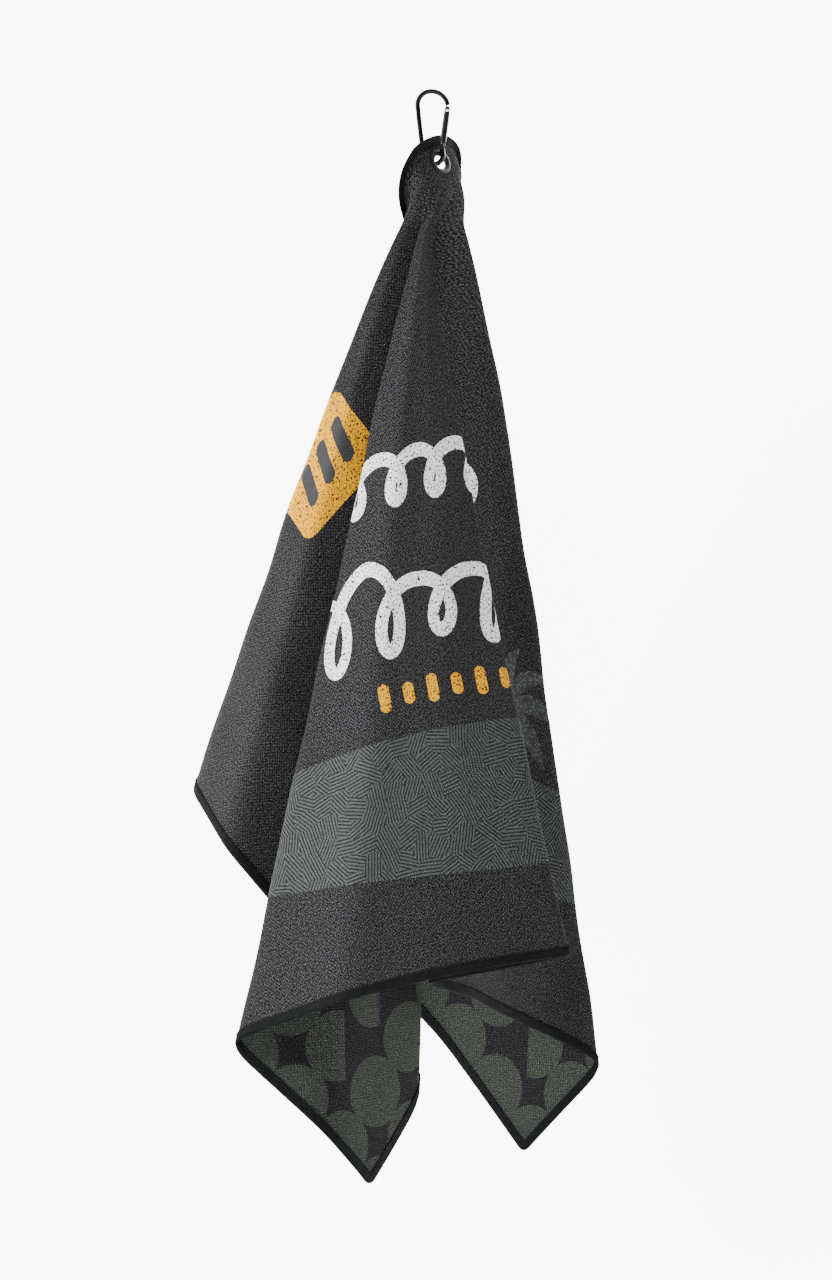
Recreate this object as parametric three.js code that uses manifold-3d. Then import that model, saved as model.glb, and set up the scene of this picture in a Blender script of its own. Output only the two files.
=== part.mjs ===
// Golf towel hanging from a small spring-gate carabiner. Millimetres, +Z up.
// The carabiner lies in the XZ plane and its clip eye hangs at the origin. The towel hangs from a grommet
// at the middle of its top edge, and its printed side faces -Y.
import * as THREE from 'three';
import { mergeVertices } from 'three/addons/utils/BufferGeometryUtils.js';
import Module from 'manifold-3d';

const wasm = await Module();
wasm.setup();

// ---- Driving dimensions ----
const TOWEL_WIDTH = 760;
const TOWEL_HEIGHT = 500;
const GROMMET_DROP = 20;        // grommet centre below the towel's top edge
const CLOTH_THICKNESS = 1;
const TAPE_WIDTH = 6;           // edge binding, seen from either face
const TAPE_THICKNESS = 0.35;
const SLIVER = 0.1;             // finer detail than this is smoothed away where a tape is trimmed
const FIT_GAP = 0.3;            // between pieces that touch

const ROD_DIAMETER = 3.1;
const TOP_LEFT_RADIUS = 8;      // rod centreline, over the hook
const TOP_RIGHT_RADIUS = 10.2;
const BEND_RADIUS = 5.8;        // rod centreline, where the grommet hangs
const BEND_CENTRE = new THREE.Vector2(1.3, -36.3);
const NOSE_ANGLE = 10;          // degrees above the right-hand end of the top arc

const PIVOT = new THREE.Vector2(6.9, -30.4);
const GATE_LENGTH = 22.2;       // pivot to the gate's free end
const GATE_LEAN = 7.4;          // degrees from upright
const GATE_DIAMETER = 3.8;
const GATE_BORE = 2.6;
const GATE_TAIL = 1.9;          // below the pivot
const FORK_GAP = 1.8;
const TONGUE_THICKNESS = 1.2;
const RIVET_DIAMETER = 1.2;
const CATCH_PIN_DIAMETER = 0.8;
const CATCH_HEIGHT = 20.6;      // pivot to the catch pin
const SPRING_TURNS = 8;

const GROMMET_HOLE = 8.6;
const GROMMET_OUTER = 15.6;
const GROMMET_SLACK = 0.2;      // the rod runs this far above the middle of the hole
const GROMMET_ANGLE = 41;       // round the bend from its lowest point, degrees
const GROMMET_NORMAL = new THREE.Vector3(0.64, -0.69, 0.34).normalize();
const GROMMET_LEAN = 25.5;      // how far the towel's own "up" leans at the grommet, degrees

// How the cloth hangs. Each row is one line running straight out from the grommet on the flat towel:
// its angle from straight down (+ towards the printed side's left), then where the line goes when hung:
// lean to the right at the hem, how much the lean changes near the grommet, depth towards the viewer at
// the hem, and how much the depth changes near the grommet. All in degrees.
const PLEATS = [
  [-180, 220, 0, 70, 0],        // top edge, straight above the grommet
  [-150, 140, 0, -50, 0],
  [-125, 60, 0, -72, 0],
  [-108, 22, 0, -45, -45],
  [-95, 9, 0, -19, -84],
  [-88, 1, 0, -16.5, -90],      // towards the top right corner, behind
  [-79, -7, -6, -14, -80],
  [-64, 6, 10, -14.5, -70],
  [-50, -5, 0, -11, -60],       // back fold
  [-45, 0, 10, -12, -50],
  [-38, 5.7, 20, -11, -40],     // bottom right corner
  [-31.5, 11, 23, -10, -25],    // right-hand outer fold
  [-27, 7.7, 14, -9, -15],
  [-22, 4.6, 0, -6, -5],
  [-16, 2, -14, -1.8, 0],
  [-11.5, -1.4, -26, 1.5, 0],   // tuck behind the front panel
  [-1, 10, -30, 6, 0],          // front panel's right fold
  [8, 2.3, -22, 8.6, 0],
  [18, -6.2, -12, 9, 0],
  [27.3, -13.7, -7, 5.2, 0],    // front panel's left fold
  [35, -6.4, -8, 4, 0],
  [43.3, -0.8, -6, -2.4, 0],     // left flap's inner fold
  [52, -8.5, -16, 1.5, 0],
  [62, -16.8, -19, 3, 5],
  [70.5, -21.3, -21, -1, 10],   // left-hand outer fold
  [77, -19.5, -24, -6.5, 6],
  [84, -14, -24, -9.5, 0],
  [88, -9.5, -22, -8, -6],      // towards the top left corner, behind
  [110, -22, -10, -14, -10],
  [135, -70, 0, 62, 0],
  [180, -140, 0, 70, 0],
];
const FOLD_SOFTNESS = 2;        // half width of a rounded fold, degrees
const SPREAD_RADIUS = 72;       // the pleats spread over about this distance from the grommet
const FLAT_RADIUS = 8.5;        // the cloth is flat in the grommet's plane up to here
const HANG_RADIUS = 44;         // and hangs freely beyond here
const DEPTH_CLOSING = 0.7;      // how much the pleats' depth closes up towards the grommet

// ---- Materials ----
const material = (color, roughness, metalness) =>
  new THREE.MeshStandardMaterial({ color, roughness, metalness });
const gunmetal = material(0x3a3835, 0.22, 1);
const brightSteel = material(0xb9b7b2, 0.28, 1);
const springSteel = material(0x8d8f92, 0.35, 1);
const darkPaint = material(0x3b403c, 0.55, 0.4);
const charcoalCloth = material(0x424244, 0.95, 0);
const blackTape = material(0x222422, 0.85, 0);

// ---- Helpers ----
const rad = THREE.MathUtils.degToRad;
const group = new THREE.Group();

function addMesh(name, geometry, meshMaterial, parent = group) {
  const mesh = new THREE.Mesh(geometry, meshMaterial);
  mesh.name = name;
  parent.add(mesh);
  return mesh;
}

function toManifold(geometry) {
  const bare = geometry.index ? geometry.clone() : geometry;
  bare.deleteAttribute('normal');
  bare.deleteAttribute('uv');
  const merged = mergeVertices(bare, 1e-4);
  return new wasm.Manifold(new wasm.Mesh({
    numProp: 3,
    vertProperties: new Float32Array(merged.attributes.position.array),
    triVerts: new Uint32Array(merged.index.array),
  }));
}

function fromManifold(solid) {
  const mesh = solid.getMesh();
  const geometry = new THREE.BufferGeometry();
  geometry.setAttribute('position', new THREE.BufferAttribute(new Float32Array(mesh.vertProperties), 3));
  geometry.setIndex(new THREE.BufferAttribute(new Uint32Array(mesh.triVerts), 1));
  geometry.computeVertexNormals();
  return geometry;
}

const unite = (first, ...rest) => rest.reduce((all, next) => all.add(toManifold(next)), toManifold(first));
const cut = (solid, ...tools) => tools.reduce((left, tool) => left.subtract(toManifold(tool)), solid);

function box(width, depth, height, x = 0, y = 0, z = 0) {
  return new THREE.BoxGeometry(width, depth, height).translate(x, y, z);
}

function cylinderAlongY(diameter, length, x = 0, z = 0, sides = 16) {
  return new THREE.CylinderGeometry(diameter / 2, diameter / 2, length, sides).translate(x, 0, z);
}

// A surface of revolution about +Z from a closed profile of [radius, height] pairs.
function turned(profile, sides) {
  const points = [...profile, profile[0]].map(([r, z]) => new THREE.Vector2(r, z));
  return new THREE.LatheGeometry(points, sides).rotateX(Math.PI / 2);
}

// Points round an arc in the XZ plane, angles in degrees from +X towards +Z.
function arcPoints(centre, radius, from, to, step) {
  const count = Math.max(2, Math.round(Math.abs(to - from) / step));
  return Array.from({ length: count + 1 }, (_, i) => {
    const angle = rad(from + (to - from) * i / count);
    return new THREE.Vector3(centre.x + radius * Math.cos(angle), 0, centre.y + radius * Math.sin(angle));
  });
}

function sweepRound(points, diameter, sides, steps) {
  const outline = Array.from({ length: sides }, (_, i) => {
    const angle = 2 * Math.PI * i / sides;
    return new THREE.Vector2(Math.cos(angle), Math.sin(angle)).multiplyScalar(diameter / 2);
  });
  const extrudePath = new THREE.CatmullRomCurve3(points, false, 'centripetal');
  return new THREE.ExtrudeGeometry(new THREE.Shape(outline), { steps, extrudePath, bevelEnabled: false });
}

// Joins a row of closed sections into one closed body. Open rows are capped with the section's own shape.
function loft(sections, closed, flatShape) {
  const size = sections[0].length;
  const positions = sections.flat().flatMap((p) => [p.x, p.y, p.z]);
  const index = [];
  const spans = closed ? sections.length : sections.length - 1;
  for (let i = 0; i < spans; i++) {
    const a = i * size;
    const b = ((i + 1) % sections.length) * size;
    for (let j = 0; j < size; j++) {
      const k = (j + 1) % size;
      index.push(a + j, b + j, b + k, a + j, b + k, a + k);
    }
  }
  if (!closed) {
    const last = (sections.length - 1) * size;
    for (const [p, q, s] of THREE.ShapeUtils.triangulateShape(flatShape, [])) {
      index.push(p, q, s, last + p, last + s, last + q);
    }
  }
  const geometry = new THREE.BufferGeometry();
  geometry.setAttribute('position', new THREE.Float32BufferAttribute(positions, 3));
  geometry.setIndex(index);
  return facedOutwards(geometry);
}

// Turns every face over if the body's signed volume is negative.
function facedOutwards(geometry) {
  const p = geometry.attributes.position;
  const index = geometry.index.array;
  const [a, b, c] = [new THREE.Vector3(), new THREE.Vector3(), new THREE.Vector3()];
  let volume = 0;
  for (let i = 0; i < index.length; i += 3) {
    a.fromBufferAttribute(p, index[i]);
    b.fromBufferAttribute(p, index[i + 1]);
    c.fromBufferAttribute(p, index[i + 2]);
    volume += a.dot(b.cross(c));
  }
  if (volume < 0) {
    for (let i = 0; i < index.length; i += 3) {
      [index[i], index[i + 1]] = [index[i + 1], index[i]];
    }
  }
  geometry.computeVertexNormals();
  return geometry;
}

// ---- Carabiner ----
// The gate's own frame: origin at the pivot, +Z along the closed gate, +X away from the eye.
const gateFrame = new THREE.Group();
gateFrame.position.set(PIVOT.x, 0, PIVOT.y);
gateFrame.rotation.y = rad(GATE_LEAN);
group.add(gateFrame);
gateFrame.updateMatrix();

const inPlace = (geometry) => geometry.clone().applyMatrix4(gateFrame.matrix);

function carabinerBody() {
  const topLeft = new THREE.Vector2(0, ROD_DIAMETER / 2 - TOP_LEFT_RADIUS);
  const topRight = new THREE.Vector2(0, ROD_DIAMETER / 2 - TOP_RIGHT_RADIUS);
  // The spine is the line that touches the top left arc and the bend on their left-hand sides.
  const span = BEND_CENTRE.clone().sub(topLeft);
  const fromDown = Math.atan2(span.x, -span.y);
  const spineLean = THREE.MathUtils.radToDeg(
    fromDown + Math.asin((TOP_LEFT_RADIUS - BEND_RADIUS) / span.length()));
  const stubTop = new THREE.Vector3(0, 0, -GATE_TAIL - FIT_GAP).applyMatrix4(gateFrame.matrix);
  const bendEnd = 360 - spineLean / 2;
  const centreline = [
    ...arcPoints(topRight, TOP_RIGHT_RADIUS, NOSE_ANGLE, 90, 12),
    ...arcPoints(topLeft, TOP_LEFT_RADIUS, 90, 180 + spineLean, 15).slice(1),
    ...arcPoints(BEND_CENTRE, BEND_RADIUS, 180 + spineLean, bendEnd, 15),
    stubTop,
  ];
  const rod = sweepRound(centreline, ROD_DIAMETER, 12, 64);
  // Flattened tongues that sit in the gate's two forks.
  const overlap = 1;
  const pivotTongue = box(2.6, TONGUE_THICKNESS, GATE_TAIL + FIT_GAP + overlap + 1.1,
    0, 0, (1.1 - GATE_TAIL - FIT_GAP - overlap) / 2);
  const noseTongue = box(2.6, TONGUE_THICKNESS, GATE_LENGTH + overlap - CATCH_HEIGHT + 1.5,
    0, 0, (GATE_LENGTH + overlap + CATCH_HEIGHT - 1.5) / 2);
  const rivetHole = cylinderAlongY(RIVET_DIAMETER + 2 * FIT_GAP, 4);
  // The catch is a notch open towards the eye, which the pin drops into as the gate closes.
  const notchWidth = CATCH_PIN_DIAMETER + 2 * FIT_GAP;
  const notchDepth = 2.4;
  const catchNotch = box(notchDepth, 4, notchWidth, (notchWidth - notchDepth) / 2, 0, CATCH_HEIGHT);
  const solid = unite(rod, inPlace(pivotTongue), inPlace(noseTongue));
  return fromManifold(cut(solid, inPlace(rivetHole), inPlace(catchNotch)));
}

function gateBarrel() {
  const r = GATE_DIAMETER / 2;
  const barrel = turned([
    [0, -GATE_TAIL], [r - 0.7, -GATE_TAIL], [r - 0.2, 0.5 - GATE_TAIL], [r, 1 - GATE_TAIL],
    [r, GATE_LENGTH - 0.4], [r - 0.4, GATE_LENGTH], [0, GATE_LENGTH],
  ], 20);
  const boreTop = 14;
  const bore = new THREE.CylinderGeometry(GATE_BORE / 2, GATE_BORE / 2, boreTop + 4, 16)
    .rotateX(Math.PI / 2).translate(0, 0, (boreTop - 4) / 2);
  const lowerFork = box(6, FORK_GAP, 6, 0, 0, -0.9);
  const upperFork = box(6, FORK_GAP, 8, 0, 0, CATCH_HEIGHT + 2.1);
  const rivetHole = cylinderAlongY(RIVET_DIAMETER + 2 * FIT_GAP, 6);
  const pinHole = cylinderAlongY(CATCH_PIN_DIAMETER + 2 * FIT_GAP, 6, 0, CATCH_HEIGHT);
  return fromManifold(cut(toManifold(barrel), bore, lowerFork, upperFork, rivetHole, pinHole));
}

function rivet() {
  const head = RIVET_DIAMETER * 0.9;
  const face = GATE_DIAMETER / 2 + FIT_GAP;
  const shank = RIVET_DIAMETER / 2;
  return turned([
    [0, -face - 0.6], [head * 0.7, -face - 0.5], [head, -face], [shank, -face],
    [shank, face], [head, face], [head * 0.7, face + 0.5], [0, face + 0.6],
  ], 16).rotateX(Math.PI / 2);
}

function catchPin() {
  const length = GATE_DIAMETER - 0.2;
  return cylinderAlongY(CATCH_PIN_DIAMETER, length, 0, CATCH_HEIGHT, 12);
}

function springCoil(bottom, top) {
  const wire = 0.34;
  const radius = GATE_BORE / 2 - FIT_GAP - wire / 2;
  const perTurn = 12;
  const count = SPRING_TURNS * perTurn;
  const points = Array.from({ length: count + 1 }, (_, i) => {
    const angle = 2 * Math.PI * i / perTurn;
    const height = bottom + wire / 2 + (top - bottom - wire) * i / count;
    return new THREE.Vector3(radius * Math.cos(angle), radius * Math.sin(angle), height);
  });
  return sweepRound(points, wire, 6, count);
}

function plunger(bottom, top) {
  const r = GATE_BORE / 2 - FIT_GAP;
  return turned([[0, bottom], [r * 0.6, bottom + 0.1], [r, bottom + 0.7], [r, top], [0, top]], 16);
}

addMesh('carabiner_body', carabinerBody(), gunmetal);
addMesh('carabiner_gate', gateBarrel(), gunmetal, gateFrame);
addMesh('gate_rivet', rivet(), brightSteel, gateFrame);
addMesh('gate_catch_pin', catchPin(), brightSteel, gateFrame);
addMesh('gate_plunger', plunger(1.5, 4.4), brightSteel, gateFrame);
addMesh('gate_spring', springCoil(4.7, 13.6), springSteel, gateFrame);

// ---- Grommet ----
const grommetReach = BEND_RADIUS + GROMMET_SLACK;
const grommetCentre = new THREE.Vector3(
  BEND_CENTRE.x + grommetReach * Math.sin(rad(GROMMET_ANGLE)), 0,
  BEND_CENTRE.y - grommetReach * Math.cos(rad(GROMMET_ANGLE)));
const towelUp = new THREE.Vector3(-Math.sin(rad(GROMMET_LEAN)), 0, Math.cos(rad(GROMMET_LEAN)))
  .projectOnPlane(GROMMET_NORMAL).normalize();
const towelLeft = new THREE.Vector3().crossVectors(GROMMET_NORMAL, towelUp);

const grommetFrame = new THREE.Group();
grommetFrame.position.copy(grommetCentre);
grommetFrame.quaternion.setFromRotationMatrix(new THREE.Matrix4().makeBasis(
  towelLeft.clone().negate(), towelUp, GROMMET_NORMAL));
group.add(grommetFrame);

const clothFace = CLOTH_THICKNESS / 2;
const holeRadius = GROMMET_HOLE / 2;
const barrelRadius = holeRadius + 0.5;
const flangeRadius = GROMMET_OUTER / 2;

// Front flange, barrel and the lip rolled over the washer, in one piece.
function eyelet() {
  const seat = clothFace + FIT_GAP;
  const lip = -seat - 0.4 - FIT_GAP;
  return turned([
    [flangeRadius, seat], [flangeRadius - 0.1, seat + 0.3], [flangeRadius - 1.2, seat + 0.7],
    [holeRadius + 1.8, seat + 0.75], [holeRadius + 0.9, seat + 0.5], [holeRadius, seat - 0.5],
    [holeRadius, lip + 1.1], [holeRadius + 0.7, lip - 0.1], [holeRadius + 1.3, lip - 0.4],
    [holeRadius + 1.8, lip - 0.1], [holeRadius + 1.7, lip], [barrelRadius, lip + 0.3],
    [barrelRadius, seat],
  ], 28);
}

function washer() {
  const top = -clothFace - FIT_GAP;
  const inner = barrelRadius + FIT_GAP;
  return turned([[inner, top], [inner, top - 0.4], [flangeRadius - 0.7, top - 0.4],
    [flangeRadius - 0.2, top]], 28);
}

addMesh('grommet_eyelet', eyelet(), darkPaint, grommetFrame);
addMesh('grommet_washer', washer(), darkPaint, grommetFrame);

// ---- Cloth ----
const outerHemSpread = 1 / (1 + (TOWEL_HEIGHT - GROMMET_DROP) / SPREAD_RADIUS);

// Which way one line of the pleat table hangs, with the table's corners left sharp.
function sharpPleat(angle, spread) {
  const turned = angle - 360 * Math.round(angle / 360);
  const after = Math.max(1, PLEATS.findIndex((row) => row[0] >= turned));
  const [low, high] = [PLEATS[after - 1], PLEATS[after]];
  const [, leanAtHem, leanSpread, depthAtHem, depthSpread] =
    low.map((value, i) => THREE.MathUtils.mapLinear(turned, low[0], high[0], value, high[i]));
  const lean = rad(leanAtHem + leanSpread * spread);
  const depth = rad(depthAtHem * (1 - DEPTH_CLOSING * spread) + depthSpread * spread);
  return new THREE.Vector3(
    Math.sin(lean) * Math.cos(depth), -Math.sin(depth), -Math.cos(lean) * Math.cos(depth));
}

// The same with rounded folds: a weighted mean over the lines on either side.
function roundedPleat(angle, spread) {
  const samples = 9;
  const sum = new THREE.Vector3();
  for (let i = 0; i < samples; i++) {
    const offset = 2 * i / (samples - 1) - 1;
    sum.addScaledVector(sharpPleat(angle + FOLD_SOFTNESS * offset, spread), 1 - 0.85 * Math.abs(offset));
  }
  return sum.normalize();
}

// Where a point of the flat towel hangs: angle in degrees from straight down, distance from the grommet.
function hung(angle, distance) {
  const spread = 1 / (1 + distance / SPREAD_RADIUS) - outerHemSpread;
  const flat = towelUp.clone().multiplyScalar(-Math.cos(rad(angle)))
    .addScaledVector(towelLeft, Math.sin(rad(angle)));
  const hangs = THREE.MathUtils.smoothstep(distance, FLAT_RADIUS, HANG_RADIUS);
  return flat.lerp(roundedPleat(angle, spread), hangs).normalize()
    .multiplyScalar(distance).add(grommetCentre);
}

// The same point raised off the cloth's middle surface towards the printed side.
function raised(angle, distance, height) {
  const along = hung(angle, distance + 1).sub(hung(angle, distance - 1));
  const across = hung(angle + 0.7, distance).sub(hung(angle - 0.7, distance));
  return hung(angle, distance).addScaledVector(across.cross(along).normalize(), height);
}

// Distance from the grommet to the towel's outline, or to a line inset from it.
function edgeDistance(angle, inset = 0) {
  const [c, s] = [Math.cos(rad(angle)), Math.abs(Math.sin(rad(angle)))];
  const reach = [Infinity];
  if (c > 1e-6) reach.push((TOWEL_HEIGHT - GROMMET_DROP - inset) / c);
  if (c < -1e-6) reach.push((GROMMET_DROP - inset) / -c);
  if (s > 1e-6) reach.push((TOWEL_WIDTH / 2 - inset) / s);
  return Math.min(...reach);
}

// Lines to the corners of the cloth that shows inside the binding.
const clothInset = TAPE_WIDTH + FIT_GAP;
const clothHalfWidth = TOWEL_WIDTH / 2 - clothInset;
const clothDrop = TOWEL_HEIGHT - GROMMET_DROP - clothInset;
const clothRise = GROMMET_DROP - clothInset;
const bottomCorner = THREE.MathUtils.radToDeg(Math.atan2(clothHalfWidth, clothDrop));
const topCorner = 90 + THREE.MathUtils.radToDeg(Math.atan2(clothRise, clothHalfWidth));

// Lines from the grommet that the solids follow: evenly spaced with extra ones beside each fold.
function linesBetween(from, to, spacing) {
  const count = Math.ceil((to - from) / spacing);
  const found = new Set(Array.from({ length: count + 1 }, (_, i) => from + (to - from) * i / count));
  for (const [angle] of PLEATS.filter((row) => Math.abs(row[0]) < 90)) {
    for (const beside of [angle - FOLD_SOFTNESS * 0.8, angle, angle + FOLD_SOFTNESS * 0.8]) {
      if (beside > from + 0.8 && beside < to - 0.8) found.add(beside);
    }
  }
  const sorted = [...found].sort((a, b) => a - b);
  return sorted.filter((angle, i) => i === 0 || i === sorted.length - 1 || angle - sorted[i - 1] > 0.7);
}

// Lines that meet the top edge at steadily wider steps away from the grommet.
function topLines() {
  const reach = [325, 280, 240, 204, 172, 144, 118, 95, 76, 60, 47, 36, 27, 19, 12, 6];
  const half = reach.map((x) => 90 + THREE.MathUtils.radToDeg(Math.atan2(clothRise, x)));
  return [topCorner, ...half, 180, ...half.toReversed().map((angle) => 360 - angle), 360 - topCorner];
}

// Each side of the towel: its lines, its outward direction on the flat towel (+x to the printed side's
// left, +y down) and the direction its lines advance in.
const SIDES = {
  right: { lines: linesBetween(-topCorner, -bottomCorner, 5), out: [-1, 0], along: [0, 1] },
  bottom: { lines: linesBetween(-bottomCorner, bottomCorner, 4), out: [0, 1], along: [1, 0] },
  left: { lines: linesBetween(bottomCorner, topCorner, 5), out: [1, 0], along: [0, -1] },
  top: { lines: topLines(), out: [0, -1], along: [-1, 0] },
};

// The cloth up to the binding's inner edge, grown on every outer face by the given amount.
function clothSheet(grown = 0) {
  const rings = 13;
  const inner = barrelRadius + FIT_GAP;
  const face = clothFace + grown;
  const lines = Object.values(SIDES).flatMap((side) => side.lines.slice(0, -1));
  return loft(lines.map((angle) => {
    const hem = edgeDistance(angle, clothInset);
    const steps = Array.from({ length: rings - 1 }, (_, i) => inner * (hem / inner) ** (i / (rings - 1)));
    steps.push(edgeDistance(angle, clothInset - grown / 2));
    return [...steps.map((distance) => raised(angle, distance, face)),
      ...steps.toReversed().map((distance) => raised(angle, distance, -face))];
  }), true);
}

// The tape along one side, folded double round the hem. Its ends are mitred at the corners.
function bindingTape({ lines, out, along }) {
  const face = clothFace + TAPE_THICKNESS;
  return loft(lines.map((angle, i) => {
    const end = i === 0 ? -1 : Number(i === lines.length - 1);
    const distance = edgeDistance(angle, TAPE_WIDTH);
    const place = (outwards, height) => {
      const onwards = end * (outwards - FIT_GAP / 2);
      const x = distance * Math.sin(rad(angle)) + out[0] * outwards + along[0] * onwards;
      const y = distance * Math.cos(rad(angle)) + out[1] * outwards + along[1] * onwards;
      return raised(THREE.MathUtils.radToDeg(Math.atan2(x, y)), Math.hypot(x, y), height);
    };
    return [place(0, face), place(TAPE_WIDTH, face), place(TAPE_WIDTH, -face), place(0, -face)];
  }), false, [[0, 0], [1, 0], [1, 1], [0, 1]].map(([x, y]) => new THREE.Vector2(x, y)));
}

addMesh('towel_cloth', clothSheet(), charcoalCloth);
// Inside a tight fold the thicker tape would run into the cloth beside it, so it is trimmed back there.
const clothRoom = [FIT_GAP / 2, FIT_GAP / 6].map((grown) => clothSheet(grown));
for (const [name, side] of Object.entries(SIDES)) {
  const pieces = cut(toManifold(bindingTape(side)), ...clothRoom).simplify(SLIVER).decompose();
  const tape = pieces.reduce((largest, piece) => (piece.volume() > largest.volume() ? piece : largest));
  addMesh(`binding_tape_${name}`, fromManifold(tape), blackTape);
}

export default group;
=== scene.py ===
import math

import bpy
import numpy as np
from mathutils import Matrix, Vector


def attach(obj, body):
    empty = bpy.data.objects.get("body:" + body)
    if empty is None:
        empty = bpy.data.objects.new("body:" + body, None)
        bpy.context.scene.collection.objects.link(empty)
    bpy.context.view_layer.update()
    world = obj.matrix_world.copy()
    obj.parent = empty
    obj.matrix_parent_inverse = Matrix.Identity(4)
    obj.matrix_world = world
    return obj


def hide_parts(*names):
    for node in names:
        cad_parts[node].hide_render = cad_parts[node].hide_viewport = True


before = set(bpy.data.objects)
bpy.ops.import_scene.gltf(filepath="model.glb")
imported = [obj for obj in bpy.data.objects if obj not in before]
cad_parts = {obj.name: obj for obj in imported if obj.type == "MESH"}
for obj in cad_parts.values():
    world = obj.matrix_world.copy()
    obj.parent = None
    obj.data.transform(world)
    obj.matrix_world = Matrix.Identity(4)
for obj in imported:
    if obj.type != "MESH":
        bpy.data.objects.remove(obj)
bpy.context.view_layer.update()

# The flat towel is described in millimetres about the grommet's centre: fx grows towards the printed
# side's left and fy grows downwards. Everything is built in millimetres and scaled to metres last.
MM = 0.001
HALF_WIDTH = 380.0
DROP = 480.0             # hem below the grommet
RISE = 16.0              # top edge above the grommet
CLOTH = 1.0              # thickness
HOLE = 4.9               # radius of the cloth's hole under the grommet
GROMMET_CENTRE = np.array([5.236, 0.0, -40.83])
GROMMET_NORMAL = np.array([0.64, -0.69, 0.34])
GROMMET_LEAN = 25.5      # how far the towel's own "up" leans at the grommet, degrees
SPREAD_RADIUS = 72.0     # the lean and depth near the grommet fade out over this distance
FLAT_RADIUS = 8.5        # the cloth lies flat under the grommet up to here
HANG_RADIUS = 44.0       # and hangs freely beyond here
DEPTH_CLOSING = 0.7      # share of the hem's depth that is lost at the grommet
FOLD_SOFTNESS = 2.0      # half width of the rounding of a fold, degrees

# One row for each line running straight out from the grommet: its angle from straight down, lean at the
# hem, change of lean near the grommet, depth at the hem, change of depth near the grommet. Degrees.
PLEATS = np.array([
    (-180, 220, 0, 70, 0),
    (-150, 140, 0, -60, 0),
    (-125, 36, 0, -76, 0),
    (-108, 12, 0, -52, -40),
    (-95, 9, 0, -19, -84),
    (-88, 1, 0, -16.5, -90),
    (-79, -7, -6, -14, -80),
    (-64, 6, 10, -14.5, -70),
    (-50, -5, 0, -11, -60),
    (-45, 0, 10, -12, -50),
    (-38, 5.7, 20, -11, -40),
    (-31.5, 11, 23, -10, -25),
    (-27, 7.7, 14, -9, -15),
    (-22, 4.6, 0, -6, -5),
    (-16, 2, -14, -1.8, 0),
    (-11.5, -1.4, -26, 1.5, 0),
    (-1, 10, -30, 6, 0),
    (8, 2.3, -22, 8.6, 0),
    (18, -6.2, -12, 9, 0),
    (27.3, -13.7, -7, 5.2, 0),
    (35, -6.4, -8, 4, 0),
    (43.3, -0.8, -6, -2.4, 0),
    (52, -8.5, -16, 1.5, 0),
    (62, -16.8, -19, 3, 5),
    (70.5, -21.3, -21, -1, 10),
    (77, -19.5, -24, -6.5, 6),
    (84, -14, -24, -9.5, 0),
    (88, -9.5, -22, -8, -6),
    (110, -22, -10, -14, -10),
    (135, -62, 0, 66, 0),
    (180, -140, 0, 70, 0),
], float)


def smooth(x, low, high):
    """0 below low, 1 above high, smooth between."""
    t = np.clip((x - low) / (high - low), 0, 1)
    return t * t * (3 - 2 * t)


def unit(v):
    return v / np.linalg.norm(v, axis=-1, keepdims=True)


def grommet_frame():
    """The flat towel's up and printed-side left where the grommet clamps it."""
    lean = math.radians(GROMMET_LEAN)
    normal = unit(GROMMET_NORMAL)
    up = np.array([-math.sin(lean), 0, math.cos(lean)])
    up = unit(up - normal * (up @ normal))
    return up, np.cross(normal, up)


UP, LEFT = grommet_frame()


def sharp_pleat(angle, spread):
    """Which way one line hangs, with the table's corners left sharp."""
    turned = angle - 360 * np.round(angle / 360)
    columns = [np.interp(turned, PLEATS[:, 0], PLEATS[:, i]) for i in range(1, 5)]
    lean = np.radians(columns[0] + columns[1] * spread)
    depth = np.radians(columns[2] * (1 - DEPTH_CLOSING * spread) + columns[3] * spread)
    return np.stack([np.sin(lean) * np.cos(depth), -np.sin(depth), -np.cos(lean) * np.cos(depth)], -1)


def hung(angle, distance):
    """Where a point of the flat towel hangs, from its angle in degrees and distance from the grommet."""
    spread = 1 / (1 + distance / SPREAD_RADIUS) - 1 / (1 + DROP / SPREAD_RADIUS)
    total = 0
    for offset in np.linspace(-1, 1, 9):
        total = total + sharp_pleat(angle + FOLD_SOFTNESS * offset, spread) * (1 - 0.85 * abs(offset))
    hangs = smooth(distance, FLAT_RADIUS, HANG_RADIUS)[..., None]
    a = np.radians(angle)[..., None]
    flat = -UP * np.cos(a) + LEFT * np.sin(a)
    return GROMMET_CENTRE + unit(flat * (1 - hangs) + unit(total) * hangs) * distance[..., None]


def ripple(fx, fy):
    """Soft waves of the cloth, in millimetres towards the printed side."""
    r = np.hypot(fx, fy)
    fade = smooth(r, 40, 160)
    wave = (0.9 * np.sin(fx / 31 + 1.3 * np.sin(fy / 57)) * np.sin(fy / 43 + 0.8)
            + 0.5 * np.sin(fx / 17 + fy / 29 + 2.1) * np.sin(fy / 23 - fx / 41)
            + 0.35 * np.sin(fx / 9.5 - fy / 31 + 0.4 * np.sin(fy / 13)))
    return fade * wave * 0.8


def raised(fx, fy, height):
    """A point of the flat towel, raised off the cloth's middle surface towards the printed side.

    The cloth is pinched thinner where it is gathered close to the grommet.
    """
    angle = np.degrees(np.arctan2(fx, fy))
    distance = np.hypot(fx, fy)
    along = hung(angle, distance + 1) - hung(angle, distance - 1)
    across = hung(angle + 0.5, distance) - hung(angle - 0.5, distance)
    normal = unit(np.cross(across, along))
    pinched = 1 - 0.85 * smooth(distance, 12, 26) * (1 - smooth(distance, 60, 130))
    return hung(angle, distance) + normal * (height * pinched + ripple(fx, fy))[..., None]


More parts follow.
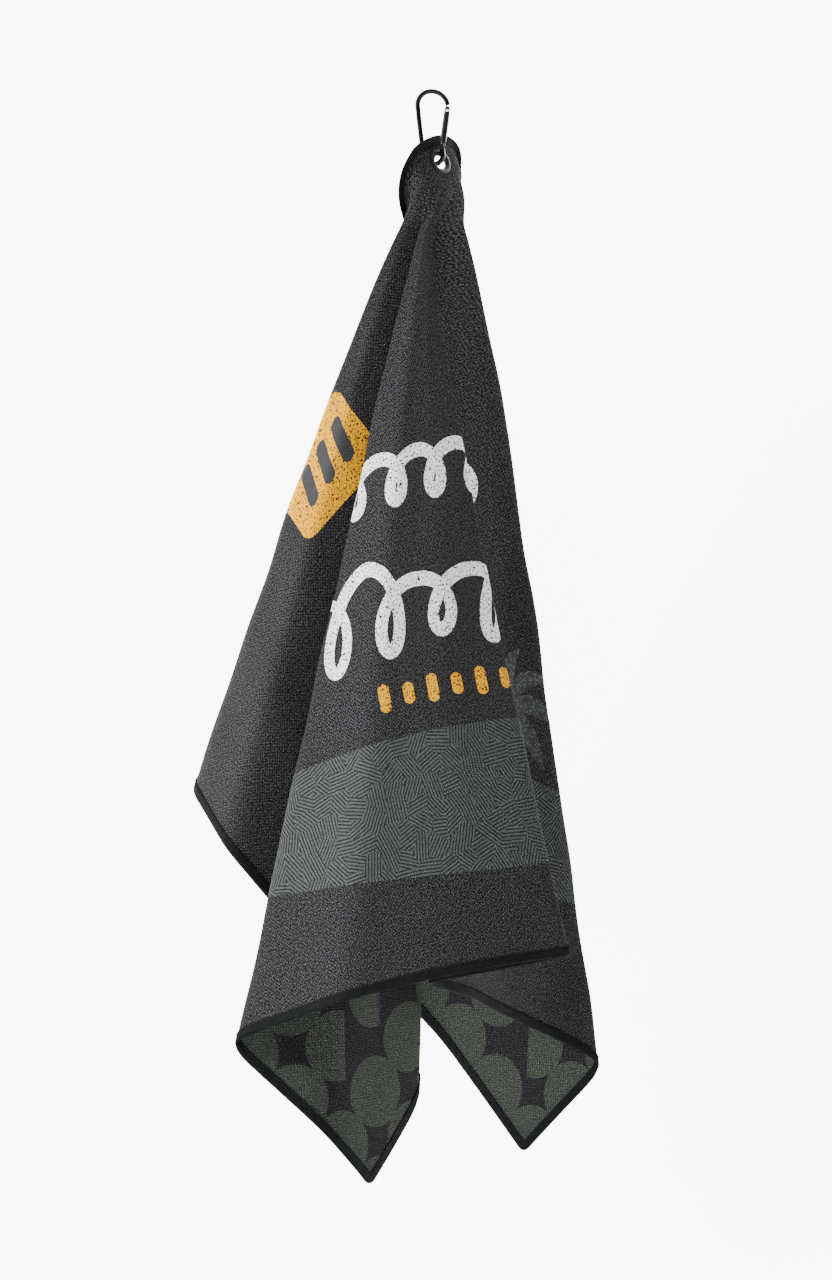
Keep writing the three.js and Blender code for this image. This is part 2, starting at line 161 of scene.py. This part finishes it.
def piece(name, points, faces, uv, materials, slots=None, body="towel"):
    """A mesh piece from points in millimetres, with flat coordinates in metres as its UV map."""
    mesh = bpy.data.meshes.new(name)
    mesh.from_pydata((points.reshape(-1, 3) * MM).tolist(), [], faces)
    corners = np.empty(len(mesh.loops), np.int32)
    mesh.loops.foreach_get("vertex_index", corners)
    layer = mesh.uv_layers.new(name="flat")
    layer.data.foreach_set("uv", (uv.reshape(-1, 2) * MM)[corners].astype(np.float32).ravel())
    for m in materials:
        mesh.materials.append(m)
    if slots is not None:
        mesh.polygons.foreach_set("material_index", np.asarray(slots, np.int32))
    mesh.polygons.foreach_set("use_smooth", np.ones(len(mesh.polygons), bool))
    mesh.update()
    obj = bpy.data.objects.new(name, mesh)
    bpy.context.scene.collection.objects.link(obj)
    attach(obj, body)
    return obj


def grid_faces(rows, columns, wrap_rows=False, wrap_columns=False, start=0):
    """Quads of a rows x columns grid of points."""
    i = np.arange(rows if wrap_rows else rows - 1)[:, None]
    j = np.arange(columns if wrap_columns else columns - 1)[None, :]
    i2, j2 = (i + 1) % rows, (j + 1) % columns
    quads = np.stack([i * columns + j, i2 * columns + j, i2 * columns + j2, i * columns + j2], -1)
    return quads.reshape(-1, 4) + start


# ---- Materials ----
class Graph:
    """A material's node tree, written as expressions."""

    def __init__(self, name):
        self.material = bpy.data.materials.new(name)
        self.material.use_nodes = True
        self.tree = self.material.node_tree
        self.tree.nodes.clear()
        self.out = self.tree.nodes.new("ShaderNodeOutputMaterial")

    def plug(self, socket, value):
        if isinstance(value, bpy.types.NodeSocket):
            self.tree.links.new(value, socket)
        elif isinstance(value, (tuple, list)) and len(value) == 3 and socket.type == "RGBA":
            socket.default_value = (*value, 1)
        else:
            socket.default_value = value

    def add(self, kind, settings=None, **inputs):
        node = self.tree.nodes.new(kind)
        for key, value in (settings or {}).items():
            setattr(node, key, value)
        for key, value in inputs.items():
            self.plug(node.inputs[key.replace("_", " ")], value)
        return node

    def math(self, operation, a, b=None, c=None):
        node = self.tree.nodes.new("ShaderNodeMath")
        node.operation = operation
        for socket, value in zip(node.inputs, (a, b, c)):
            if value is not None:
                self.plug(socket, value)
        return node.outputs[0]

    def mix(self, factor, a, b):
        node = self.tree.nodes.new("ShaderNodeMix")
        node.data_type = "RGBA"
        for socket, value in zip((node.inputs[0], node.inputs[6], node.inputs[7]), (factor, a, b)):
            self.plug(socket, value)
        return node.outputs[2]

    def flat(self, scale=1000.0):
        """The flat coordinates in millimetres, as a vector and its two parts."""
        uv = self.add("ShaderNodeUVMap", {"uv_map": "flat"}).outputs[0]
        vector = self.add("ShaderNodeVectorMath", {"operation": "SCALE"})
        self.plug(vector.inputs[0], uv)
        vector.inputs["Scale"].default_value = scale
        parts = self.add("ShaderNodeSeparateXYZ", Vector=vector.outputs[0])
        return vector.outputs[0], parts.outputs[0], parts.outputs[1]

    def noise(self, vector, scale, detail=2.0, rough=0.5):
        return self.add("ShaderNodeTexNoise", None, Vector=vector, Scale=scale, Detail=detail,
                        Roughness=rough).outputs[0]

    def ramp(self, value, low, high):
        """0 below low, 1 above high, smooth between."""
        node = self.add("ShaderNodeMapRange", {"interpolation_type": "SMOOTHSTEP"})
        for socket, v in zip(node.inputs[:5], (value, low, high, 0.0, 1.0)):
            self.plug(socket, v)
        return node.outputs[0]

    def finish(self, color, roughness, height=None, bump=0.0, metallic=0.0, specular=0.5):
        bsdf = self.add("ShaderNodeBsdfPrincipled", None, Metallic=metallic)
        self.plug(bsdf.inputs["Base Color"], color)
        self.plug(bsdf.inputs["Roughness"], roughness)
        bsdf.inputs["Specular IOR Level"].default_value = specular
        if height is not None:
            node = self.add("ShaderNodeBump", None, Height=height, Strength=1.0, Distance=bump * MM)
            self.tree.links.new(node.outputs[0], bsdf.inputs["Normal"])
        self.tree.links.new(bsdf.outputs[0], self.out.inputs[0])
        return self.material


WAFFLE = 2.4             # pitch of the weave's pits, mm
BAND_TOP = 336.0         # the hatched band on the front, mm below the grommet
BAND_FOOT = 424.0        # its lower edge at the towel's middle
BAND_CURVE = 0.00052     # and how that edge rises to the sides, 1/mm
BUNDLE_SCALE = 0.075     # bundles of hatching per mm
HATCH_PITCH = 2.1        # between the lines of one bundle, mm
DISC_PITCH = 42.0        # grid of the back's pattern, mm


def weave(g, vector, x, y):
    """The cloth's waffle weave and loose fibres: a height from 0 to 1 and a shade from 0 to 1, the heather's
    own tone with painted shade darkening the weave's pits.
    """
    turn = 2 * math.pi / WAFFLE
    cells = g.math("MULTIPLY", g.math("SINE", g.math("MULTIPLY", x, turn)),
                   g.math("SINE", g.math("MULTIPLY", y, turn)))
    pits = g.ramp(cells, -0.2, 0.9)
    fibres = g.noise(vector, 1.6, 3.0, 0.7)
    height = g.math("ADD", g.math("MULTIPLY", pits, -0.5), fibres)
    strands = g.noise(vector, 1.0, 4.0, 0.75)
    heather = g.ramp(strands, 0.42, 0.60)
    # Painted shade: the colour is made darker in the weave's pits, on top of the heather's own tone.
    shade = g.math("SUBTRACT", heather, g.math("MULTIPLY", pits, 0.45))
    return height, shade


def cloth_front():
    """Charcoal heather with a curved band of sage hatching."""
    g = Graph("cloth_printed_side")
    vector, x, y = g.flat()
    height, shade = weave(g, vector, x, y)
    # The ground is darker where the heather is dark and in the weave's pits, which is painted shade.
    ground = g.mix(shade, (0.001, 0.001, 0.0012), (0.056, 0.056, 0.059))
    # Hatched band: bundles of short parallel lines, each bundle turned its own way.
    bundles = g.add("ShaderNodeTexVoronoi", {"voronoi_dimensions": "2D"}, Scale=BUNDLE_SCALE,
                    Randomness=1.0)
    bend = g.add("ShaderNodeTexNoise", None, Vector=vector, Scale=0.06, Detail=1.0)
    moved = g.add("ShaderNodeVectorMath", {"operation": "MULTIPLY_ADD"})
    g.plug(moved.inputs[0], bend.outputs[1])
    moved.inputs[1].default_value = (3, 3, 3)
    g.plug(moved.inputs[2], vector)
    g.plug(bundles.inputs["Vector"], moved.outputs[0])
    pick = g.add("ShaderNodeSeparateColor", None, Color=bundles.outputs["Color"])
    turn = g.math("MULTIPLY", pick.outputs[0], math.pi * 2)
    across = g.math("ADD", g.math("MULTIPLY", x, g.math("COSINE", turn)),
                    g.math("MULTIPLY", y, g.math("SINE", turn)))
    wobble = g.math("MULTIPLY", g.noise(vector, 0.22, 2.0), 0.7)
    lines = g.math("SINE", g.math("MULTIPLY", g.math("ADD", across, wobble), 2 * math.pi / HATCH_PITCH))
    worn = g.math("MULTIPLY", g.math("SUBTRACT", g.noise(vector, 0.45, 3.0), 0.5), 1.8)
    hatch = g.ramp(g.math("ADD", lines, worn), -0.45, 0.0)
    sage = g.mix(hatch, (0.005, 0.006, 0.0065), (0.060, 0.068, 0.061))
    # The band turns towards a flat grey where the heather is dark and in the weave's pits, again painted
    # shade.
    sage = g.mix(g.math("MULTIPLY", g.math("SUBTRACT", 1.0, shade), 0.35), sage, (0.04, 0.045, 0.045))
    foot = g.math("SUBTRACT", BAND_FOOT, g.math("MULTIPLY", g.math("MULTIPLY", x, x), BAND_CURVE))
    inside = g.math("MULTIPLY", g.ramp(y, BAND_TOP - 0.4, BAND_TOP + 0.4),
                    g.math("SUBTRACT", 1.0, g.ramp(g.math("SUBTRACT", y, foot), -0.4, 0.4)))
    color = g.mix(inside, ground, sage)
    return g.finish(color, 0.95, height, 0.7, specular=0.06)


def cloth_back():
    """The same weave with a grid of sage discs, some of them cut by a slanting line."""
    g = Graph("cloth_back_side")
    vector, x, y = g.flat()
    height, shade = weave(g, vector, x, y)
    # The ground and the discs are darker where the heather is dark and in the weave's pits, which is painted
    # shade.
    ground = g.mix(shade, (0.0045, 0.0045, 0.005), (0.026, 0.0255, 0.027))
    leaf = g.mix(shade, (0.014, 0.017, 0.014), (0.056, 0.064, 0.051))
    column = g.math("DIVIDE", g.math("ADD", x, 12.0), DISC_PITCH)
    row = g.math("DIVIDE", g.math("ADD", y, 6.0), DISC_PITCH)
    cell = g.add("ShaderNodeCombineXYZ", None, X=g.math("FLOOR", column), Y=g.math("FLOOR", row))
    chance = g.add("ShaderNodeTexWhiteNoise", {"noise_dimensions": "2D"}, Vector=cell.outputs[0])
    pick = g.add("ShaderNodeSeparateColor", None, Color=chance.outputs["Color"])
    u = g.math("SUBTRACT", g.math("FRACT", column), 0.5)
    v = g.math("SUBTRACT", g.math("FRACT", row), 0.5)
    away = g.math("SQRT", g.math("ADD", g.math("MULTIPLY", u, u), g.math("MULTIPLY", v, v)))
    disc = g.math("SUBTRACT", 1.0, g.ramp(away, 0.50, 0.512))
    # The cutting line slants one way or the other, and either side of it may be kept.
    side = g.math("SUBTRACT", g.math("MULTIPLY", g.math("ROUND", pick.outputs[1]), 2.0), 1.0)
    flip = g.math("SUBTRACT", g.math("MULTIPLY", g.math("ROUND", pick.outputs[2]), 2.0), 1.0)
    diagonal = g.math("MULTIPLY", g.math("ADD", u, g.math("MULTIPLY", v, side)), flip)
    kept = g.ramp(diagonal, -0.185, -0.175)
    cut = g.math("GREATER_THAN", pick.outputs[0], 0.7)
    shape = g.math("MULTIPLY", disc, g.math("MAXIMUM", kept, g.math("SUBTRACT", 1.0, cut)))
    return g.finish(g.mix(shape, ground, leaf), 0.95, height, 0.7, specular=0.06)


def print_ink(name, color, grain, speck, amount):
    """Printed ink on the weave: worn specks let the dark ground show through. The ink turns to its darker
    grain colour where the heather is dark and in the weave's pits, the pits being painted shade.
    """
    g = Graph(name)
    vector, x, y = g.flat()
    height, shade = weave(g, vector, x, y)
    worn = g.math("MAXIMUM", g.ramp(g.noise(vector, 0.75, 2.0, 0.6), amount, amount + 0.03),
                  g.ramp(g.noise(vector, 0.2, 3.0, 0.75), amount + 0.06, amount + 0.08))
    # Painted shade: the ink is darker in the weave's pits, and also with the heather's tone.
    inked = g.mix(g.math("MULTIPLY", g.math("SUBTRACT", 1.0, shade), 0.5), color, grain)
    return g.finish(g.mix(worn, inked, speck), 0.85, height, 0.45, specular=0.1)


def tape_cloth():
    """Ribbed binding. Its UV map runs along and across the tape."""
    g = Graph("binding_ribbed")
    vector, along, _ = g.flat()
    ribs = g.math("SINE", g.math("MULTIPLY", along, 2 * math.pi / 0.9))
    fibres = g.noise(vector, 1.4, 3.0, 0.7)
    height = g.math("ADD", g.math("MULTIPLY", ribs, 0.25), fibres)
    color = g.mix(g.ramp(fibres, 0.3, 0.7), (0.0015, 0.0018, 0.0018), (0.009, 0.010, 0.010))
    return g.finish(color, 0.85, height, 0.35, specular=0.05)


def thread():
    """Twisted sewing thread."""
    g = Graph("stitch_thread")
    _, along, _ = g.flat()
    twist = g.math("SINE", g.math("MULTIPLY", along, 2 * math.pi / 0.5))
    # The colour is lighter on the twist's ridges and darker in its grooves: painted highlight and painted
    # shade.
    color = g.mix(g.ramp(twist, -1.0, 1.0), (0.002, 0.003, 0.003), (0.008, 0.010, 0.010))
    return g.finish(color, 0.7, twist, 0.05, specular=0.15)


def metal(name, color, roughness, streak, dirt=0.0):
    """Polished metal with fine wear. The noise runs on the object's coordinates, which are in metres."""
    g = Graph(name)
    place = g.add("ShaderNodeTexCoord").outputs["Object"]
    fine = g.noise(place, 900.0, 3.0, 0.6)
    broad = g.noise(place, 160.0, 2.0)
    rough = g.math("ADD", roughness, g.math("MULTIPLY", g.math("SUBTRACT", broad, 0.5), streak))
    shade = g.mix(g.ramp(broad, 0.25, 0.75), tuple(c * (1 - dirt) for c in color), color)
    return g.finish(shade, rough, fine, 0.012, metallic=1.0)


def paint(name, color, roughness):
    """Satin paint, a little rubbed."""
    g = Graph(name)
    place = g.add("ShaderNodeTexCoord").outputs["Object"]
    grain = g.noise(place, 1200.0, 2.0)
    wear = g.noise(place, 260.0, 3.0, 0.65)
    shade = g.mix(g.ramp(wear, 0.3, 0.75), color, tuple(c * 1.5 for c in color))
    return g.finish(shade, roughness, grain, 0.02, metallic=0.1, specular=0.2)


# ---- Cloth ----
def outline(inset):
    """Points round the towel's edge, from the top's middle by the printed side's right.

    They lie closer together near the grommet.
    """
    half, low, high = HALF_WIDTH - inset, DROP - inset, -(RISE - inset)
    t = np.linspace(0, 1, 230)
    top = half * np.sinh(3.6 * t) / math.sinh(3.6)
    right = [(-x, high) for x in top]
    right += [(-half, y) for y in np.linspace(high, low, 226)[1:]]
    right += [(x, low) for x in np.linspace(-half, 0, 172)[1:]]
    points = np.array(right)
    mirrored = points[::-1] * (-1, 1)
    return np.vstack([points, mirrored[1:-1]])


def cloth_sheet(front, back):
    """The whole towel as one thin sheet, its two faces in their own materials."""
    rings = 150
    edge = outline(2.0)
    angle = np.degrees(np.arctan2(edge[:, 0], edge[:, 1]))
    angle[0] = -180.0
    reach = np.hypot(edge[:, 0], edge[:, 1])
    t = np.linspace(0, 1, rings)
    grow = (np.exp(1.3 * t) - 1) / (math.exp(1.3) - 1)
    distance = HOLE + (reach[:, None] - HOLE) * grow
    angles = np.broadcast_to(angle[:, None], distance.shape)
    fx, fy = distance * np.sin(np.radians(angles)), distance * np.cos(np.radians(angles))
    uv = np.stack([fx, fy], -1)
    faces, points = [], []
    for k, height in enumerate((CLOTH / 2, -CLOTH / 2)):
        points.append(raised(fx, fy, np.full(fx.shape, height)))
        quads = grid_faces(*fx.shape, wrap_rows=True, start=k * fx.size)
        faces.append(quads if k == 0 else quads[:, ::-1])
    n = len(edge)
    ring = np.arange(n) * rings
    following = np.roll(ring, -1)
    for j, order in ((rings - 1, 1), (0, -1)):
        rim = np.stack([ring + j, following + j, following + j + fx.size, ring + j + fx.size], -1)
        faces.append(rim[:, ::-order] if order == 1 else rim)
    slots = np.concatenate([np.zeros(len(faces[0])), np.ones(len(faces[1])), np.ones(2 * n)])
    return piece("towel_sheet", np.array(points), np.vstack(faces).tolist(), np.array([uv, uv]),
                 [front, back], slots)


def binding_path(inset, corner, step=2.2):
    """Points and outward directions along a rounded rectangle inset from the towel's edge."""
    half, low, high = HALF_WIDTH - inset, DROP - inset, -(RISE - inset)
    centres = [(-half + corner, high + corner), (-half + corner, low - corner),
               (half - corner, low - corner), (half - corner, high + corner)]
    points, outward = [], []

    def straight(a, b, direction):
        length = math.dist(a, b)
        on_top = a[1] == high and b[1] == high
        count = max(2, int(length / (0.9 if on_top else step)))
        for t in np.linspace(0, 1, count, endpoint=False):
            points.append((a[0] + (b[0] - a[0]) * t, a[1] + (b[1] - a[1]) * t))
            outward.append(direction)

    def bend(cx, cy, start):
        # Directions as angles from +fx towards +fy.
        for t in np.linspace(0, 1, 7):
            a = math.radians(start[0] + (start[1] - start[0]) * t)
            points.append((cx + corner * math.cos(a), cy + corner * math.sin(a)))
            outward.append((math.cos(a), math.sin(a)))

    straight((half - corner, high), (-half + corner, high), (0, -1))
    bend(*centres[0], (-90, -180))
    straight((-half, high + corner), (-half, low - corner), (-1, 0))
    bend(*centres[1], (180, 90))
    straight((-half + corner, low), (half - corner, low), (0, 1))
    bend(*centres[2], (90, 0))
    straight((half, low - corner), (half, high + corner), (1, 0))
    bend(*centres[3], (0, -90))
    return np.array(points), np.array(outward)


def binding(material):
    """The tape folded over the towel's edge all the way round."""
    path, outward = binding_path(3.0, 2.6)
    half = [(-3.1, 0.45), (-3.05, 0.86), (-2.5, 1.04), (-1.6, 1.1), (-0.3, 1.14), (1.0, 1.14), (2.0, 1.05),
            (2.7, 0.72), (3.0, 0.25)]
    section = np.array(half + [(u, -h) for u, h in reversed(half)])
    flat = path[:, None] + outward[:, None] * section[None, :, :1]
    heights = np.broadcast_to(section[:, 1], flat.shape[:2])
    points = raised(flat[..., 0], flat[..., 1], heights)
    run = np.concatenate([[0], np.cumsum(np.hypot(*np.diff(path, axis=0).T))])
    girth = np.concatenate([[0], np.cumsum(np.hypot(*np.diff(section, axis=0).T))])
    uv = np.stack(np.broadcast_arrays(run[:, None], girth[None, :]), -1)
    faces = grid_faces(len(path), len(section), True, True)[:, ::-1]
    return piece("towel_binding", points, faces.tolist(), uv, [material])


def stitches(material):
    """A zigzag thread along the binding's inner edge, on both sides of the towel."""
    pitch = 2.0
    path, outward = binding_path(3.0, 2.6, 1.0)
    run = np.concatenate([[0], np.cumsum(np.hypot(*np.diff(path, axis=0).T))])
    s = np.arange(0, run[-1], pitch / 4)
    centre = np.stack([np.interp(s, run, path[:, i]) for i in (0, 1)], -1)
    out = unit(np.stack([np.interp(s, run, outward[:, i]) for i in (0, 1)], -1))
    phase = np.arange(len(s)) % 4
    offset = np.array([-3.5, -2.6, -1.7, -2.6])[phase]
    lift = np.array([0.62, 1.16, 1.2, 1.16])[phase]
    flat = centre + out * offset[:, None]
    tangent = np.stack([-out[:, 1], out[:, 0]], -1)
    faces, points, uvs = [], [], []
    for k, side in enumerate((1, -1)):
        ring = []
        for du, dh in ((-0.22, 0.0), (0.0, 0.16), (0.22, 0.0), (0.0, -0.16)):
            place = flat + tangent * du
            ring.append(raised(place[:, 0], place[:, 1], side * (lift + dh)))
        ring = np.stack(ring, 1)
        points.append(ring)
        uvs.append(np.stack(np.broadcast_arrays(s[:, None], np.arange(4)[None, :] * 0.3), -1))
        faces.append(grid_faces(len(s), 4, False, True, start=k * ring.shape[0] * 4))
    return piece("binding_stitches", np.array(points), np.vstack(faces).tolist(), np.array(uvs), [material])


# ---- Prints ----
INK_HEIGHT = CLOTH / 2 + 0.07


def stroke(name, line, width, material, rise=0.0):
    """A brush stroke along a line of (right, down) points in millimetres, with rounded ends."""
    line = np.asarray(line, float)
    run = np.concatenate([[0], np.cumsum(np.hypot(*np.diff(line, axis=0).T))])
    s = np.arange(0, run[-1], 0.9)
    centre = np.stack([np.interp(s, run, line[:, i]) for i in (0, 1)], -1)
    tangent = unit(np.gradient(centre, axis=0))
    normal = np.stack([-tangent[:, 1], tangent[:, 0]], -1)
    widths = np.interp(s / run[-1], np.linspace(0, 1, len(width)), width) / 2
    ends = np.minimum(s, run[-1] - s)
    widths = widths * np.sqrt(np.clip(1 - (1 - np.clip(ends / widths, 0, 1)) ** 2, 0.02, 1))
    flat = centre[:, None] + normal[:, None] * (widths[:, None] * np.linspace(-1, 1, 8)[None, :])[..., None]
    flat[..., 0] *= -1
    heights = INK_HEIGHT + rise * (s / run[-1])[:, None] + np.zeros((1, 8))
    points = raised(flat[..., 0], flat[..., 1], heights)
    return patch(name, points, flat, material)


def patch(name, points, flat, material):
    """A thin printed shape that faces out from the printed side."""
    faces = grid_faces(*flat.shape[:2])
    down = flat[1, 0] - flat[0, 0]
    across = flat[0, 1] - flat[0, 0]
    if down[0] * across[1] - down[1] * across[0] < 0:
        faces = faces[:, ::-1]
    return piece(name, points, faces.tolist(), flat, [material])


def rounded_patch(name, x0, x1, y0, y1, corner, material, shear=0.0, rise=0.0):
    """A filled rounded rectangle in (right, down) millimetres."""
    y = np.linspace(y0, y1, max(4, int((y1 - y0) / 1.0)))
    near = np.clip(corner - np.minimum(y - y0, y1 - y), 0, corner)
    pull = corner - np.sqrt(corner ** 2 - near ** 2)
    columns = max(4, int((x1 - x0) / 1.0))
    x = (x0 + pull)[:, None] + (x1 - x0 - 2 * pull)[:, None] * np.linspace(0, 1, columns)[None, :]
    x = x + shear * ((y0 + y1) / 2 - y)[:, None]
    flat = np.stack(np.broadcast_arrays(-x, y[:, None]), -1)
    points = raised(flat[..., 0], flat[..., 1], np.full(flat.shape[:2], INK_HEIGHT + rise))
    return patch(name, points, flat, material)


def rolling_wave(left, right, period, middle, heights, lead=0.36, slant=0.24):
    """A curling wave line, which runs back on itself at each crest, from each crest's half height."""
    count = len(heights)
    t = np.linspace(0, count, count * 60)
    crest = np.interp(t, np.arange(count) + 0.5, heights)
    y = middle - crest * np.cos(2 * math.pi * (t - 0.5))
    x = left + (right - left) * t / count + lead * period * np.sin(2 * math.pi * (t - 0.5))
    return np.stack([x + slant * (middle - y), y], -1)


def prints():
    """Everything printed on the front: two looping lines, a row of marks, a badge and a palm."""
    # Each ink's second colour is the darker tone it takes in the weave's pits, which is painted shade, and in
    # dark heather.
    white = print_ink("ink_white", (0.82, 0.80, 0.78), (0.45, 0.44, 0.44),
                      (0.015, 0.015, 0.016), 0.555)
    yellow = print_ink("ink_yellow", (0.72, 0.33, 0.0), (0.46, 0.20, 0.0),
                       (0.02, 0.014, 0.008), 0.55)
    dark = print_ink("ink_dark", (0.035, 0.035, 0.037), (0.022, 0.022, 0.024),
                     (0.03, 0.03, 0.03), 0.8)
    sage = print_ink("ink_sage", (0.075, 0.085, 0.080), (0.040, 0.046, 0.044),
                     (0.022, 0.023, 0.024), 0.46)
    made = [
        stroke("print_wave_upper", rolling_wave(-125, 74, 34, 183, [13, 14, 13, 14, 13, 14]),
               [5, 8.6, 8.4, 8.6, 5], white, 0.06),
        stroke("print_wave_lower", rolling_wave(-160, 84, 44, 262, [20, 30, 16, 17, 31, 18]),
               [5, 9, 8.6, 9, 5], white, 0.06),
    ]
    for i in range(7):
        x = -98 + 18.4 * i
        inset = 2 * (i % 2)
        made.append(rounded_patch(f"print_mark_{i}", x, x + 8.2, 303 + inset, 320 - inset, 3.4, yellow))
    made.append(rounded_patch("print_badge", -214, -138, 52, 112, 9, yellow))
    for i in range(3):
        x = -196 + 18 * i
        made.append(rounded_patch(f"print_badge_bar_{i}", x, x + 10, 68, 97, 4.5, dark, 0.25, 0.05))
    for i in range(3):
        y = 122 + 3.2 * i
        made.append(stroke(f"print_sketch_{i}", [(-214 + 3 * i, y), (-180, y + 2 + i), (-140 - 2 * i, y - 1)],
                           [0.7, 1.3, 0.7], sage))
    # A fan of palm fronds on the right-hand panel.
    fronds = [(-150, 52), (-118, 60), (-88, 58), (-58, 55), (-28, 50), (8, 44), (172, 46)]
    for i, (turn, length) in enumerate(fronds):
        a = math.radians(turn)
        t = np.linspace(0, 1, 30)
        x = 138 + length * t * math.cos(a) + 4 * np.sin(math.pi * t) * math.sin(a)
        y = 300 + length * t * math.sin(a) + 22 * t ** 2
        made.append(stroke(f"print_frond_{i}", np.stack([x, y], -1), [1, 9, 12, 9, 2], sage, 0.02 + 0.01 * i))
    made.append(stroke("print_trunk", [(139, 302), (143, 330), (152, 372)], [3, 5, 7], sage))
    return made


sheet = cloth_sheet(cloth_front(), cloth_back())
hem = binding(tape_cloth())
sewing = stitches(thread())
inks = prints()
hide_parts("towel_cloth")
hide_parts("binding_tape_right", "binding_tape_bottom", "binding_tape_left", "binding_tape_top")

# ---- Metal pieces ----
gunmetal = metal("gunmetal", (0.026, 0.025, 0.024), 0.24, 0.10, 0.25)
bright = metal("spring_wire", (0.42, 0.42, 0.43), 0.3, 0.12, 0.2)
black = paint("grommet_paint", (0.005, 0.006, 0.006), 0.5)
FINISHES = {
    gunmetal: ["carabiner_body", "carabiner_gate", "gate_rivet"],
    bright: ["gate_spring", "gate_catch_pin", "gate_plunger"],
    black: ["grommet_eyelet", "grommet_washer"],
}
for finish, nodes in FINISHES.items():
    for name in nodes:
        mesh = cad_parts[name].data
        mesh.materials.clear()
        mesh.materials.append(finish)


# ---- Room, light and camera, in metres ----
FLOOR = -0.82
WALL = 0.17              # behind the towel
HEIGHT = 6.0
REACH = 9.0              # half the floor's width


def surface(name, corners, material):
    mesh = bpy.data.meshes.new(name)
    mesh.from_pydata([Vector(c) for c in corners], [], [(0, 1, 2, 3)])
    mesh.materials.append(material)
    obj = bpy.data.objects.new(name, mesh)
    bpy.context.scene.collection.objects.link(obj)
    return obj


def pale(name, tone, glow):
    """A plain pale surface, glowing if it has to look white. It is clear from behind, so that the towel can
    be seen from every side."""
    g = Graph(name)
    face = g.add("ShaderNodeNewGeometry").outputs["Backfacing"]
    coat = g.add("ShaderNodeBsdfDiffuse", None, Color=(tone, tone, tone))
    light = g.add("ShaderNodeEmission", None, Color=(1.0, 1.0, 1.0), Strength=glow)
    lit = g.add("ShaderNodeAddShader")
    g.plug(lit.inputs[0], coat.outputs[0])
    g.plug(lit.inputs[1], light.outputs[0])
    clear = g.add("ShaderNodeBsdfTransparent")
    either = g.add("ShaderNodeMixShader")
    g.plug(either.inputs[0], face)
    g.plug(either.inputs[1], lit.outputs[0])
    g.plug(either.inputs[2], clear.outputs[0])
    g.tree.links.new(either.outputs[0], g.out.inputs[0])
    return g.material


surface("floor", [(-REACH, -REACH, FLOOR), (REACH, -REACH, FLOOR), (REACH, REACH, FLOOR),
                  (-REACH, REACH, FLOOR)], pale("pale_floor", 0.6, 0.0))
surface("wall", [(-REACH, WALL, FLOOR), (REACH, WALL, FLOOR), (REACH, WALL, HEIGHT),
                 (-REACH, WALL, HEIGHT)], pale("pale_wall", 0.93, 7.0))


def lamp(name, place, size, power, target=(0, 0, -0.33)):
    light = bpy.data.lights.new(name, "AREA")
    light.shape = "RECTANGLE"
    light.size, light.size_y = size
    light.energy = power
    obj = bpy.data.objects.new(name, light)
    obj.location = place
    obj.rotation_mode = "QUATERNION"
    obj.rotation_quaternion = (Vector(target) - Vector(place)).to_track_quat("-Z", "Y")
    bpy.context.scene.collection.objects.link(obj)


lamp("key", (-2.4, -0.95, 0.9), (0.5, 0.7), 265)
lamp("fill", (0.3, -3.0, 0.3), (1.0, 1.2), 16)

world = bpy.data.worlds.new("studio")
world.use_nodes = True
world.node_tree.nodes["Background"].inputs[0].default_value = (1, 1, 1, 1)
world.node_tree.nodes["Background"].inputs[1].default_value = 0.12
bpy.context.scene.world = world

DISTANCE = 4.0
FRAME_HEIGHT = 0.764
SENSOR = 36.0            # mm, the camera's standard
camera = bpy.data.objects.new("camera", bpy.data.cameras.new("camera"))
camera.data.lens = SENSOR * DISTANCE / FRAME_HEIGHT
camera.location = (-0.009, -DISTANCE, -0.326)
camera.rotation_euler = (math.pi / 2, 0, 0)
bpy.context.scene.collection.objects.link(camera)
bpy.context.scene.camera = camera
